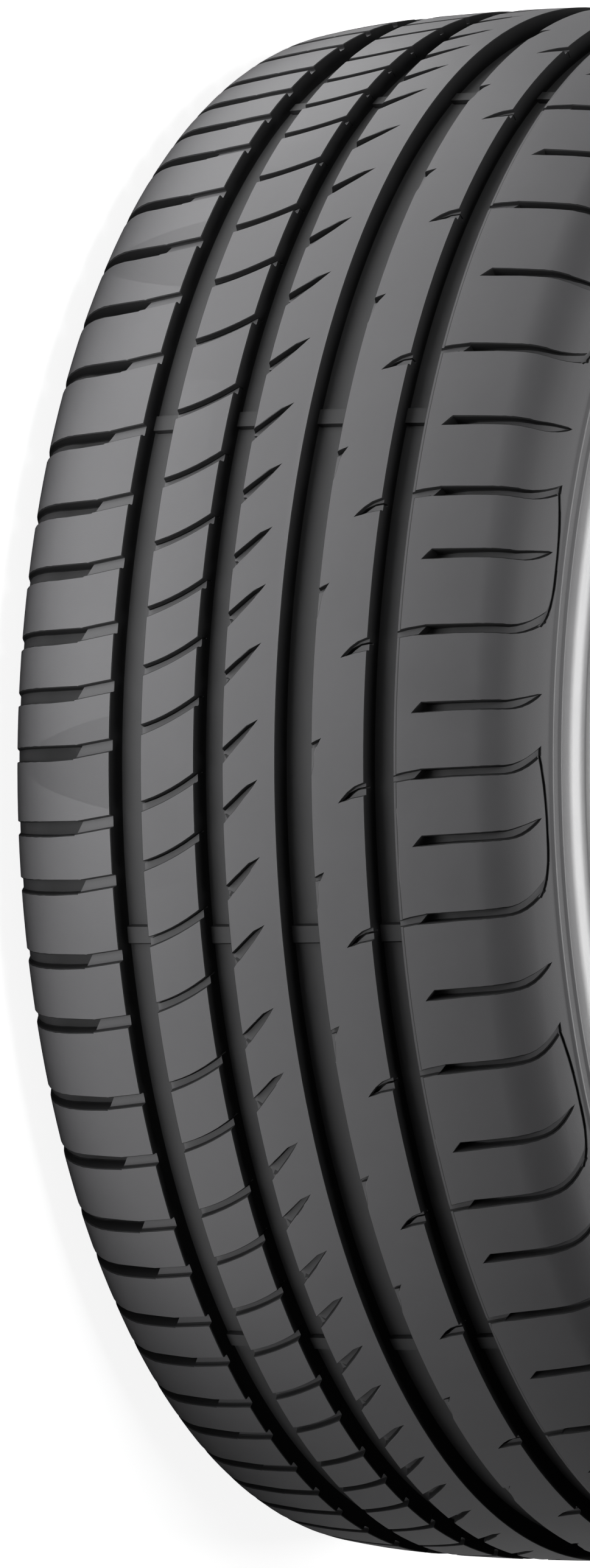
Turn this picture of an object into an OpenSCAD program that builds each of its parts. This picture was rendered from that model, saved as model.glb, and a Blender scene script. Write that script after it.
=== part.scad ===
// A car tyre in size 245/40 R18, moulded in one piece, lying on its inner sidewall.
// The spin axis is Z and the origin is the middle of the tyre. The outer sidewall is up.
// Points of the section are [z, r]: z along the axis from the middle of the tread, r from the axis.
// A place on the skin is also given by s, the distance along the section from the middle of the tread.
// Angles round the tyre are in degrees, and t is a distance along the tread the same way.

/* [Size] */
// Outside diameter over the middle of the tread
overall_d = 653.2; // [640:0.2:668]
// Width over the sidewalls at their widest
section_w = 239; // [234:0.5:246]
// Diameter of the bead seats, which fit an 18 inch rim
bead_d = 457.2; // [450:0.1:464]
// Where the sidewalls are widest, as a share of the way from the bead seats to the tread
widest_share = 0.4735; // [0.42:0.005:0.52]
// Width over the outer faces of the two beads
bead_face_w = 218; // [208:0.5:226]

/* [Tread] */
// Width of the tread between the shoulder curves
tread_w = 190; // [182:0.5:198]
// Width of the nearly flat middle of the tread
crown_w = 110; // [90:1:130]
// Section radius of the flat middle
crown_r = 1100; // [800:10:1600]
// Section radius from there to the shoulder curves
edge_r = 330; // [260:5:400]
// Section radius of the shoulder curves
shoulder_r = 24; // [20:0.5:28]
// Slope of the skin at the foot of the shoulder curves, in degrees
shoulder_slope = 66; // [60:1:72]
// Depth of the four grooves
groove_depth = 7.8; // [6:0.1:9]
// Rubber, belts and casing under the grooves
under_tread = 7.7; // [6:0.1:10]

/* [Grooves] */
// Middle of the inner shoulder groove, from the middle of the tread
groove_1 = -55.5; // [-58:0.1:-53]
// Width of the inner shoulder groove
groove_1_w = 14.2; // [11:0.1:16]
// Middle of the inner centre groove
groove_2 = -18; // [-20:0.1:-16]
// Width of the inner centre groove
groove_2_w = 12.6; // [10:0.1:14]
// Middle of the outer centre groove
groove_3 = 19.4; // [18:0.1:21]
// Width of the outer centre groove
groove_3_w = 15.6; // [12:0.1:17]
// Middle of the outer shoulder groove
groove_4 = 56; // [54:0.1:58]
// Width of the outer shoulder groove
groove_4_w = 12; // [10:0.1:14]
// How far each groove wall leans in by its foot
groove_lean = 1.2; // [0.6:0.1:2]
// Chamfer between a groove wall and the floor
groove_corner = 1.6; // [0.8:0.1:2.2]
// Width of the ledge along the outer shoulder groove
ledge_w = 1.5; // [1:0.1:2.5]
// Depth of that ledge
ledge_depth = 0.7; // [0.4:0.1:1.5]
// Number of wear bars round the tyre
wear_bars = 10; // [6:1:12]
// Height of the wear bars over the groove floors
wear_bar_h = 1.6; // [1:0.1:2.4]
// Length of the wear bars along the grooves
wear_bar_len = 7; // [4:0.5:10]

/* [Inner shoulder slots] */
// Width of the slots over the shoulder
inner_slot_w = 6; // [4:0.1:7.5]
// Depth of the outer stretch of each slot
inner_slot_depth = 7; // [5:0.1:7.8]
// Width of the shallow stretch next to the groove
inner_step_w = 4.8; // [3:0.1:6]
// Depth of the shallow stretch
inner_step_depth = 2; // [1:0.1:3]
// Length of the shallow stretch
inner_step_len = 15.5; // [12:0.5:18]
// How far the slots run past the tread edge, as a share of the way to the widest place
inner_slot_share = 0.553; // [0.45:0.01:0.6]

/* [Centre slots] */
// Width of the slots across the inner centre rib, at their narrow end
rib_slot_w = 3.2; // [2:0.1:4.5]
// Depth of the slots across the inner centre rib
rib_slot_depth = 2.6; // [1.5:0.1:4]
// Depth of the narrow sipes along the upper edge of the centre slots
sipe_depth = 5.5; // [4:0.1:6]
// Width of those sipes
sipe_w = 0.9; // [0.6:0.1:1.4]
// Length across the tread of the sawtooth slots of the middle rib
tooth_len = 15.5; // [12:0.5:18]
// Width of the mouth of each sawtooth slot
tooth_w = 6.3; // [4.5:0.1:8]
// Depth of the sawtooth slots
tooth_depth = 2.6; // [1.5:0.1:4]
// Depth of the small pocket at the mouth of each sawtooth slot
pocket_depth = 4.5; // [3:0.1:6]
// Length across the tread of the notches of the outer centre rib
notch_len = 4.2; // [3:0.1:6]
// Depth of those notches
notch_depth = 3; // [1.5:0.1:4]
// Length along the tread of the thin chamfer below each notch
notch_chamfer_len = 20; // [10:0.5:30]
// Length across the tread of the hooks into the outer shoulder groove
hook_len = 11; // [8:0.1:13]
// Width of the mouth of each hook
hook_w = 5.3; // [4.5:0.1:6.5]
// Depth of the hooks at their slit
hook_depth = 4.5; // [2.5:0.1:6]
// Depth of the ledges along both sides of the slit
hook_step_depth = 1.5; // [0.8:0.1:2.4]

/* [Outer shoulder slots] */
// Width of the slots at their inner end
outer_slot_w = 3.2; // [2:0.1:4.5]
// Depth of the slots at their inner end
outer_slot_depth = 7.5; // [5:0.1:7.8]
// Depth of the short stretch that joins every second slot to the groove
outer_step_depth = 1.8; // [1:0.1:3]
// Distance from the groove to the deep part of the slots
outer_step_len = 6.6; // [5:0.1:9]
// How far the slots run past the tread edge, as a share of the way to the widest place
outer_slot_share = 0.535; // [0.4:0.01:0.56]
// Width of the fine lines that link the slot ends in pairs
line_w = 1.3; // [0.6:0.1:1.6]

/* [Carcass] */
// Thickness of the sidewalls at their widest
side_wall = 7; // [5:0.1:10]
// Width of the beads, from face to toe
bead_w = 19; // [15:0.5:24]
// Radius of the bead heels
heel_r = 4.3; // [2:0.1:6]
// Height of the straight outer faces of the beads, above the heels
bead_face_h = 5; // [2:0.5:10]
// Chamfer of the bead toes
toe = 2; // [1:0.1:3]
// Height of the fine ridges round the upper sidewalls
ridge_h = 0.6; // [0.3:0.1:1]

/* [Hidden] */
$fn = 180;
deg = PI/180;
// One millimetre along the tread, as an angle
mm = 2/overall_d/deg;

// The slots follow in pitches of four lengths, in millimetres along the tread. The uneven order
// spreads the noise. There are fewer and longer pitches on the outer side.
inner_lengths = [23.8, 27.1, 30.6, 33.7];
inner_rest = [1, 2, 3, 2, 1, 0, 0, 1, 1];
inner_order = concat([2, 0, 0, 0, 2, 2, 2, 2, 3, 2, 1, 1, 0, 0, 2, 0, 2, 1, 3, 1, 2],
    [0, 1, 0, 1, 0, 1, 0, 0], [for (k = [1:5]) each inner_rest]);
outer_lengths = [26.5, 31.1, 34.1, 38.1];
outer_rest = [1, 2, 3, 2, 1, 1, 0, 1, 2, 1, 1];
outer_order = concat([2, 2, 3, 3, 2, 1, 0, 1, 1, 0, 0, 1, 1, 1, 2, 0, 0, 1, 2, 3],
    [for (k = [1:4]) each outer_rest]);
// Angle of the first inner and the first outer slot
inner_start = 71.33;
outer_start = 57.9;
// Angle of the first wear bar, and how far every second one is out of step
wear_bar_start = 27.5;
wear_bar_swing = 1.9;

// The outer half section, as a chain of arcs from the middle of the tread
function arc_end(start, radius, from, to) =
    [start[0] + radius*(sin(to) - sin(from)), start[1] - radius*(cos(from) - cos(to))];
function arc_points(start, radius, from, to, steps) =
    [for (i = [1:steps]) arc_end(start, radius, from, from + (to - from)*i/steps)];
function bezier(a, b, c, d, u) =
    pow(1 - u, 3)*a + 3*u*pow(1 - u, 2)*b + 3*u*u*(1 - u)*c + u*u*u*d;

crown_slope = asin(crown_w/2/crown_r);
edge_slope = asin(sin(crown_slope) + (tread_w - crown_w)/2/edge_r);
middle = [0, overall_d/2];
crown_end = arc_end(middle, crown_r, 0, crown_slope);
tread_end = arc_end(crown_end, edge_r, crown_slope, edge_slope);
shoulder_end = arc_end(tread_end, shoulder_r, edge_slope, shoulder_slope);
bead_r = bead_d/2;
widest_r = bead_r + widest_share*(overall_d/2 - bead_r);
widest = [section_w/2, widest_r];
face_top = [bead_face_w/2, bead_r + heel_r + bead_face_h];

// Distances along the skin at which the arcs end
s_crown = crown_r*crown_slope*deg;
s_edge = s_crown + edge_r*(edge_slope - crown_slope)*deg;
s_shoulder = s_edge + shoulder_r*(shoulder_slope - edge_slope)*deg;
side_len = norm(widest - shoulder_end);
// Way along the skin from the tread edge to the widest place
upper_len = s_shoulder + side_len - s_edge;

function upper_side(u) = bezier(shoulder_end,
    shoulder_end + side_len/3*[cos(shoulder_slope), -sin(shoulder_slope)],
    widest + [0, side_len/3], widest, u);
lower_drop = (widest[1] - face_top[1])/2;
function lower_side(u) = bezier(widest, widest - [0, lower_drop], face_top + [0, lower_drop], face_top, u);

// Point and slope of the skin at a distance s from the middle of the tread
function skin(s) =
    s < s_crown ? arc_end(middle, crown_r, 0, s/crown_r/deg) :
    s < s_edge ? arc_end(crown_end, edge_r, crown_slope, slope(s)) :
    s < s_shoulder ? arc_end(tread_end, shoulder_r, edge_slope, slope(s)) :
    upper_side((s - s_shoulder)/side_len);
function slope(s) =
    s < s_crown ? s/crown_r/deg :
    s < s_edge ? crown_slope + (s - s_crown)/edge_r/deg :
    s < s_shoulder ? edge_slope + (s - s_edge)/shoulder_r/deg :
    shoulder_slope + (90 - shoulder_slope)*(s - s_shoulder)/side_len;
function below(s, depth) = skin(s) - depth*[sin(slope(s)), cos(slope(s))];
// Radius of the skin at z, which is close to s on the crown
function crown_at(z) = skin(abs(z))[1];

// The inner half section: the liner, which the sidewall and the bead close
liner_mid = [0, overall_d/2 - groove_depth - under_tread];
shoulder_solid = 17;
liner_slope = asin((tread_w/2 - shoulder_solid)/crown_r);
liner_edge = arc_end(liner_mid, crown_r, 0, liner_slope);
liner_drop = 0.2155;
liner_widest = [section_w/2 - side_wall, widest_r - liner_drop*(widest_r - bead_r)];
liner_round = 0.55;
function liner_shoulder(u) = bezier(liner_edge,
    liner_edge + liner_round*(liner_widest[0] - liner_edge[0])*[cos(liner_slope), -sin(liner_slope)],
    liner_widest + [0, liner_round*(liner_edge[1] - liner_widest[1])], liner_widest, u);
toe_tip = [bead_face_w/2 - bead_w, bead_r + toe];
function liner_side(u) = bezier(liner_widest, liner_widest - [0, (liner_widest[1] - toe_tip[1])/2],
    toe_tip + [toe_rise, toe_rise], toe_tip, u);
toe_rise = 9;

// Two fine ridges round the upper sidewall, at shares of its length
ridge_shares = [0.43, 0.59];
ridge_w = 0.041*side_len;
function side_s(share) = s_shoulder + share*side_len;
function ridge(s) = [skin(s - ridge_w), below(s - ridge_w/4, -ridge_h), below(s + ridge_w/4, -ridge_h),
    skin(s + ridge_w)];

half_section = concat([middle],
    arc_points(middle, crown_r, 0, crown_slope, 2),
    arc_points(crown_end, edge_r, crown_slope, edge_slope, 2),
    arc_points(tread_end, shoulder_r, edge_slope, shoulder_slope, 4),
    [skin(side_s(0.25))], ridge(side_s(ridge_shares[0])), ridge(side_s(ridge_shares[1])),
    [skin(side_s(0.8)), widest],
    [for (i = [1:6]) lower_side(i/6)],
    [[face_top[0], bead_r + heel_r]],
    arc_points([face_top[0], bead_r + heel_r], heel_r, 90, 180, 3),
    [[toe_tip[0] + toe, bead_r], toe_tip],
    [for (i = [5:-1:0]) liner_side(i/6)],
    [for (i = [6:-1:0]) liner_shoulder(i/7)],
    [for (i = [3:-1:0]) arc_end(liner_mid, crown_r, 0, liner_slope*i/4)]);
half_points = len(half_section);
function flip(points) = [for (i = [len(points) - 1:-1:0]) [-points[i][0], points[i][1]]];

// Cuts reach this far past the tread
air = 3;
// Thickness of the slabs whose lower face is a slot floor, more than any slot is wide
slab = 60;
top = overall_d/2 + air;

// A polygon of [z, r] points, ready to be turned round the axis
module section(points) {
    polygon([for (p = points) [p[1], p[0]]]);
}

module groove(middle_z, width) {
    left = middle_z - width/2;
    right = middle_z + width/2;
    left_r = crown_at(left);
    right_r = crown_at(right);
    section([[left, top], [left, left_r],
        [left + groove_lean, left_r - groove_depth + groove_corner],
        [left + groove_lean + groove_corner, left_r - groove_depth],
        [right - groove_lean - groove_corner, right_r - groove_depth],
        [right - groove_lean, right_r - groove_depth + groove_corner],
        [right, right_r], [right, top]]);
}

// The ledge on the outer side of the outer shoulder groove
groove_4_edge = groove_4 + groove_4_w/2;
ledge_edge = groove_4_edge + ledge_w;
module ledge() {
    section([[groove_4_edge - groove_lean, top], [ledge_edge, top], [ledge_edge, crown_at(ledge_edge)],
        [ledge_edge - ledge_depth/2, crown_at(ledge_edge) - ledge_depth],
        [groove_4_edge - groove_lean, crown_at(ledge_edge) - ledge_depth]]);
}

module body() {
    rotate([0, 0, seam])
    rotate_extrude()
    difference() {
        section(concat(half_section, flip([for (i = [1:half_points - 2]) half_section[i]])));
        groove(groove_1, groove_1_w);
        groove(groove_2, groove_2_w);
        groove(groove_3, groove_3_w);
        groove(groove_4, groove_4_w);
        ledge();
    }
}
// Angle where the turned body starts and ends, between two slots
seam = 12;

// One wear bar crosses all four grooves, and inside the ribs it is lost in the rubber
bar_steps = 4;
bar_z = [for (k = [0:bar_steps])
    groove_1 - groove_1_w/2 + k*(groove_4_edge - groove_1 + groove_1_w/2)/bar_steps];
module wear_bar() {
    angle = wear_bar_len*mm;
    rotate([0, 0, -angle/2])
    rotate_extrude(angle = angle)
    section(concat([for (z = bar_z) [z, crown_at(z) - groove_depth + wear_bar_h]],
        [for (k = [bar_steps:-1:0]) [bar_z[k], crown_at(bar_z[k]) - groove_depth - wear_bar_h]]));
}

// Turns children to an angle round the tyre, with their X axis pointing out of the tread
module at(angle) {
    rotate([0, 0, -90 - angle]) children();
}

// A straight cut into the tread from above, with the outline [z, t] and a level floor
module tread_cut(outline, floor_r) {
    translate([floor_r, 0, 0])
    rotate([0, 90, 0])
    linear_extrude(top - floor_r)
    polygon([for (p = outline) [-p[0], -p[1]]]);
}

// A cut with the outline [s, t] and a floor that follows the skin at the depths [s, depth]
module shoulder_cut(outline, depths, side) {
    floor = [for (d = depths) below(d[0], d[1])];
    last = len(floor) - 1;
    roof = [[floor[last][0], top], [floor[0][0], top]];
    intersection() {
        tread_cut([for (p = outline) [side*skin(p[0])[0], p[1]]], floor[last][1] - air);
        rotate([90, 0, 0])
        linear_extrude(slab, center = true)
        section([for (p = concat(floor, roof)) [side*p[0], p[1]]]);
    }
}

// Inner shoulder: a deep slot over the shoulder, and a shallow stretch from it up to the groove.
// The stretch starts at a slanted step and rises a little towards the groove.
inner_edge = -(groove_1 - groove_1_w/2);
inner_in = inner_edge + inner_step_len;
inner_slot_reach = inner_slot_share*upper_len;
inner_out = s_edge + inner_slot_reach;
step_slant = 3.5;
step_rise = 2.6;
slot_taper = 0.6;
module inner_slot() {
    half = inner_slot_w/2;
    mouth = groove_lean + 1 - inner_edge;
    shoulder_cut([[inner_in - step_slant/2, half], [inner_out, half - slot_taper],
        [inner_out, slot_taper - half], [inner_in + 0.28*(inner_out - inner_in), -half],
        [inner_in + step_slant/2, slot_taper - half]],
        [[inner_in - step_slant, inner_slot_depth], [s_edge, inner_slot_depth],
        [s_edge + 0.5*inner_slot_reach, 0.45*inner_slot_depth], [inner_out, -0.5]], -1);
    tread_cut([[mouth, half + step_rise], [-inner_in, half], [-inner_in - step_slant, slot_taper - half],
        [mouth, half + step_rise - inner_step_w]],
        crown_at(inner_edge + inner_step_len/2) - inner_step_depth);
}

// Inner centre rib: a curved slot right across, with a narrow deep sipe along its upper edge
function curve(f, start, rise, bend) = start + rise*f + bend*f*f;
function backwards(points) = [for (i = [len(points) - 1:-1:0]) points[i]];
function shifted(points, t) = [for (p = points) p + [0, t]];
rib_from = groove_1 + groove_1_w/2;
rib_to = groove_2 - groove_2_w/2;
rib_slot_start = -2.7;
rib_stations = [-0.08, 0.33, 0.7, 1.08];
module rib_slot() {
    width = rib_to - rib_from;
    upper = [for (f = rib_stations) [rib_from + f*width, curve(f, rib_slot_start, 5.3, 5.3)]];
    lower = [for (f = rib_stations) [rib_from + f*width, curve(f, rib_slot_start - rib_slot_w, 5.3, 4.4)]];
    floor_r = crown_at((rib_from + rib_to)/2);
    tread_cut(concat(upper, backwards(lower)), floor_r - rib_slot_depth);
    tread_cut(concat(upper, backwards(shifted(upper, -sipe_w))), floor_r - sipe_depth);
}

// Middle rib: a sawtooth slot that opens into the groove and rises to a point
tooth_from = groove_2 + groove_2_w/2;
tooth_start = -2.4;
tooth_rise = 12.6;
module tooth_slot() {
    mouth = tooth_from - groove_lean;
    low = tooth_start - tooth_w;
    knee = [tooth_from + 0.68*tooth_len, tooth_start + 0.8*tooth_rise];
    tip = [tooth_from + tooth_len, tooth_start + tooth_rise];
    floor_r = crown_at(tooth_from + tooth_len/2);
    tread_cut([[mouth, tooth_start], knee, tip, knee - [0.6, 0.67*tooth_w], [mouth, low]],
        floor_r - tooth_depth);
    tread_cut([[mouth, tooth_start], knee, tip, knee - [0.3, sipe_w], [mouth, tooth_start - sipe_w]],
        floor_r - sipe_depth);
    tread_cut([[mouth, tooth_start + 1], [tooth_from + 0.27*tooth_len, tooth_start - 1], [mouth, low]],
        floor_r - pocket_depth);
}

// Outer centre rib: a small slanted notch with a long thin chamfer below it, opening into the groove
notch_from = groove_3 + groove_3_w/2;
module notch() {
    mouth = notch_from - groove_lean;
    floor_r = crown_at(notch_from);
    tread_cut([[mouth, 1.5], [notch_from + notch_len, 4.2], [notch_from + 0.55*notch_len, 1],
        [mouth, 0.2]], floor_r - notch_depth);
    tread_cut([[mouth, 0.8], [notch_from + 0.55*notch_len, 1.2], [notch_from + 0.35*notch_len, -1.4],
        [notch_from + 0.2*notch_len, -7], [mouth, -notch_chamfer_len]], floor_r - notch_depth/2);
}

// The hooks on the other side of that rib, opening into the outer shoulder groove: a shallow
// outline with a slit down its middle, which widens towards the tip
hook_to = groove_4 - groove_4_w/2;
hook_top = 4.8;
hook_drop = 8.4;
hook_slit_w = 0.9;
module hook() {
    mouth = hook_to + groove_lean;
    function along(f) = hook_to - f*hook_len;
    surface_r = crown_at(along(0.5));
    tip = [along(1), hook_top - hook_drop];
    bend = [along(0.64), hook_top - 4.3];
    slit = hook_top - 1.8;
    tread_cut([tip, bend, [along(0.36), hook_top - 2.1], [mouth, hook_top], [mouth, hook_top - hook_w],
        [along(0.5), hook_top - hook_w - 1.3]], surface_r - hook_step_depth);
    tread_cut([tip, bend, [along(0.27), slit - 0.9], [mouth, slit], [mouth, slit - hook_slit_w],
        [along(0.27), slit - 1.7], [along(0.45), slit - 3.1], [along(0.64), slit - 5.1]],
        surface_r - hook_depth);
}

// Outer shoulder: slots that bend up to a point. The edges rise gently and then hook.
outer_in = ledge_edge + outer_step_len;
outer_slot_reach = outer_slot_share*upper_len;
outer_out = s_edge + outer_slot_reach;
outer_top = 1.85;
outer_rise = 1.8;
outer_low = outer_top - outer_slot_w;
bend_at = 0.7;
function slot_edge(f, start, hook, power) =
    start + outer_rise*f + (f > bend_at ? hook*pow((f - bend_at)/(1 - bend_at), power) : 0);
slot_stations = [0.07, 0.7, 0.82, 0.92, 1];
function outer_place(f) = outer_in + f*(outer_out - outer_in);
module outer_slot(upper_hook, upper_power, lower_hook, lower_power) {
    upper = [for (f = slot_stations) [outer_place(f), slot_edge(f, outer_top, upper_hook, upper_power)]];
    lower = [for (f = slot_stations) [outer_place(f), slot_edge(f, outer_low, lower_hook, lower_power)]];
    inner_end = [outer_in, outer_low - 0.6];
    shoulder_cut(concat(upper, backwards([for (i = [1:len(lower) - 1]) lower[i]]), [inner_end]),
        [[outer_in - 1, outer_slot_depth], [s_edge, outer_slot_depth],
        [s_edge + 0.5*outer_slot_reach, 0.4*outer_slot_depth], [outer_out + 1, 0.9]], 1);
}
module outer_step() {
    mouth = groove_4_edge - groove_lean;
    tread_cut([[mouth, -0.8], [outer_in - outer_step_len/2, 0.8], [outer_in + 4, outer_top + 0.2],
        [outer_in + 2, outer_low - 0.1], [mouth, outer_low - 2]], crown_at(outer_in) - outer_step_depth);
}

// A fine line along the shoulder edge, from the end of one slot to the tip of the next but one.
// It is cut straight down into the sidewall. Its middle is furthest out at its crest.
line_from = 5;
line_past = 8;
line_top = 0.592*upper_len;
line_upper_bow = 7;
line_lower_bow = 4;
line_crest = 0.48;
line_flare = 0.16;
line_flare_w = 1.8;
line_depth = 1;
line_stations = [0, 0.08, 0.2, 0.42, 0.7, 1];
function line_s(u) = s_edge + line_top - (u < line_crest ? line_upper_bow*pow(1 - u/line_crest, 4) :
    line_lower_bow*pow((u - line_crest)/(1 - line_crest), 2));
function line_half(u) = line_w/2 + line_flare_w/2*max(0, 1 - u/line_flare);
module link_line(span) {
    length = span + line_past - line_from;
    function line_point(u, side) =
        let(r = skin(line_s(u) + side*line_half(u))[1], angle = -(line_from + u*length)*mm)
        r*[cos(angle), sin(angle)];
    floor_z = skin(line_s(1))[0] - line_depth;
    translate([0, 0, floor_z])
    linear_extrude(section_w/2 + air - floor_z)
    polygon(concat([for (u = line_stations) line_point(u, 1)],
        backwards([for (u = line_stations) line_point(u, -1)])));
}

// Angle of each slot: the share of the circle that the pitches before it take, down from the first
function sum(list, n, i = 0) = i >= n ? 0 : list[i] + sum(list, n, i + 1);
inner_pitches = [for (k = inner_order) inner_lengths[k]];
outer_pitches = [for (k = outer_order) outer_lengths[k]];
inner_unit = 360/sum(inner_pitches, len(inner_pitches));
outer_unit = 360/sum(outer_pitches, len(outer_pitches));
inner_angles = [for (i = [0:len(inner_pitches) - 1]) inner_start - inner_unit*sum(inner_pitches, i)];
outer_angles = [for (i = [0:len(outer_pitches) - 1]) outer_start - outer_unit*sum(outer_pitches, i)];
// How far along the tread the slots of the ribs lie from those of the shoulders, in millimetres
rib_shift = 14*mm;
tooth_shift = 32.4*mm;
notch_shift = -15.9*mm;
hook_shift = -7.2*mm;

module inner_side_cuts() {
    for (angle = inner_angles) {
        at(angle) inner_slot();
        at(angle + rib_shift) rib_slot();
        at(angle + tooth_shift) tooth_slot();
    }
}

// The outer slots repeat in fours: one that runs into a line, a blind one, one that meets a line
// from above, and another blind one
module outer_side_cuts() {
    count = len(outer_angles);
    for (i = [0:count - 1]) {
        angle = outer_angles[i];
        kind = i%4;
        before = outer_pitches[(i + count - 1)%count] + outer_pitches[(i + count - 2)%count];
        if (kind == 0) {
            at(angle) outer_slot(7.4, 1.6, 6.4, 1.7);
            at(angle) link_line(before*outer_unit/mm);
        }
        if (kind == 2) at(angle) outer_slot(6.7, 1.6, 6.7, 1.7);
        if (kind%2 == 1) {
            at(angle) outer_slot(3.3, 1.1, 6.5, 1.9);
            at(angle + notch_shift) notch();
        } else {
            at(angle) outer_step();
            at(angle + hook_shift) hook();
        }
    }
}

module tyre() {
    color("#454547")
    difference() {
        union() {
            body();
            for (k = [0:wear_bars - 1])
                at(wear_bar_start - k*360/wear_bars - wear_bar_swing*(k%2)) wear_bar();
        }
        inner_side_cuts();
        outer_side_cuts();
    }
}

tyre();
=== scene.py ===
# %% [markdown]
# # A car tyre
# A tyre is one moulded piece of rubber over a hidden casing. Everything that shows is skin: the
# tread with its grooves and slots, the shoulders, the two sidewalls, the beads and the liner.
# The script works in millimetres on a section through the rubber, and turns to metres only when
# a mesh is made. The tyre lies on its inner sidewall, so its spin axis is Z.

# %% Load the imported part
import bpy, bmesh, math
import numpy as np
from mathutils import Matrix, Vector


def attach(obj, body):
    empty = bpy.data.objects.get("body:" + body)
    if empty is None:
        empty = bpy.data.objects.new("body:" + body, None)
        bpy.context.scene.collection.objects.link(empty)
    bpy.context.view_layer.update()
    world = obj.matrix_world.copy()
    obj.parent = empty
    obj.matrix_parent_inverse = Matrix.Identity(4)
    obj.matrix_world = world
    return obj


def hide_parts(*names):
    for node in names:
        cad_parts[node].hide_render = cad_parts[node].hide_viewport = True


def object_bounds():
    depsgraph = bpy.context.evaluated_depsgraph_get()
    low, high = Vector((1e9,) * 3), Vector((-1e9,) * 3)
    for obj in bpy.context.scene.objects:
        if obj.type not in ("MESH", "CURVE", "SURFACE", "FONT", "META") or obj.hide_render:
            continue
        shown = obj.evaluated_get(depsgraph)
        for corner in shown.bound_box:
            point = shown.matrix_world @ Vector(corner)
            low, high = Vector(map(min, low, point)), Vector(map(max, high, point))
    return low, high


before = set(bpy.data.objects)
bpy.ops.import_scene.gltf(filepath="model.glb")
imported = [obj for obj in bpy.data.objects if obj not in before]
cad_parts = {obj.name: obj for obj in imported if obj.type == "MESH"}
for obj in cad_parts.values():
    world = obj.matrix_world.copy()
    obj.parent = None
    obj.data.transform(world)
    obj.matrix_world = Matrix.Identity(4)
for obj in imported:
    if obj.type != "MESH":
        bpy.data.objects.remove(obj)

cad_box = [[float(v) for v in corner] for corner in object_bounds()]
print("box of the solid", cad_box)

# %% [markdown]
# ## The camera
# The photograph was taken from far away with a long lens, a little towards the outer sidewall.
# The tyre in it stands upright, while this one lies down, so the camera is turned with it: up in
# the picture is towards -X. Its place was found from the outline and the spacing of the slots.

# %% The camera
PAN, TILT, ROLL = (math.radians(a) for a in (25.7944, -0.0218, 0.8115))
LENS, SENSOR_HEIGHT, CLIP_END = 258.905, 36, 50
CAMERA_PLACE = Vector((1.9569, -4.3334, 0))

def lying(v):
    """A direction beside an upright tyre (right, away, down), in the frame of the lying one."""
    return Vector((-v.z, v.y, v.x))

ahead = Vector((-math.sin(PAN) * math.cos(TILT), math.cos(PAN) * math.cos(TILT), -math.sin(TILT)))
level = Vector((math.cos(PAN), math.sin(PAN), 0))
down = ahead.cross(level)
right = level * math.cos(ROLL) + down * math.sin(ROLL)
down = down * math.cos(ROLL) - level * math.sin(ROLL)
camera_data = bpy.data.cameras.new("Camera")
camera_data.sensor_fit = "VERTICAL"
camera_data.sensor_height = SENSOR_HEIGHT
camera_data.lens = LENS
camera_data.clip_end = CLIP_END
camera = bpy.data.objects.new("Camera", camera_data)
bpy.context.collection.objects.link(camera)
stance = Matrix((lying(right), lying(-down), lying(-ahead))).transposed().to_4x4()
stance.translation = lying(CAMERA_PLACE)
camera.matrix_world = stance
bpy.context.scene.camera = camera
bpy.context.scene.view_settings.view_transform = "Standard"
print("camera at", [round(v, 3) for v in camera.location])

# %% [markdown]
# ## The section of the tyre
# The skin is a chain of arcs: a nearly flat crown, a rounder edge of the tread, and the tight
# curve of the shoulder. Under it two smooth curves make the sidewall. Points are (z, r): z along
# the axis from the middle of the tread, and r the distance from the axis. A place on the skin is
# s, the distance along it from the middle of the tread. These rules are the same as the solid's.

# %% Sizes of the skin
TREAD_R = 653.2 / 2
WIDEST = (239 / 2, 550 / 2)
BEAD_R = 457.2 / 2
BEAD_FACE = 218 / 2
CROWN_W, CROWN_R = 110, 1100
TREAD_W, EDGE_R = 190, 330
SHOULDER_R, SHOULDER_SLOPE = 24, math.radians(66)

crown_slope = math.asin(CROWN_W / 2 / CROWN_R)
edge_slope = math.asin(math.sin(crown_slope) + (TREAD_W - CROWN_W) / 2 / EDGE_R)

def arc_end(start, radius, a, b):
    """The end of an arc of the skin that starts at slope a and ends at slope b."""
    return (start[0] + radius * (math.sin(b) - math.sin(a)),
            start[1] - radius * (math.cos(a) - math.cos(b)))

def bezier(a, b, c, d, u):
    """A point of a smooth curve from a to d, with b and c as its handles."""
    v = 1 - u
    return tuple(v**3 * p + 3 * u * v * v * q + 3 * u * u * v * r + u**3 * w
                 for p, q, r, w in zip(a, b, c, d))

middle = (0, TREAD_R)
crown_end = arc_end(middle, CROWN_R, 0, crown_slope)
tread_end = arc_end(crown_end, EDGE_R, crown_slope, edge_slope)
shoulder_end = arc_end(tread_end, SHOULDER_R, edge_slope, SHOULDER_SLOPE)
side_len = math.dist(WIDEST, shoulder_end)
s_crown = CROWN_R * crown_slope
s_edge = s_crown + EDGE_R * (edge_slope - crown_slope)
s_shoulder = s_edge + SHOULDER_R * (SHOULDER_SLOPE - edge_slope)
s_widest = s_shoulder + side_len
print("the tread ends at", round(s_edge, 1), "and the skin is widest at", round(s_widest, 1))

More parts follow.
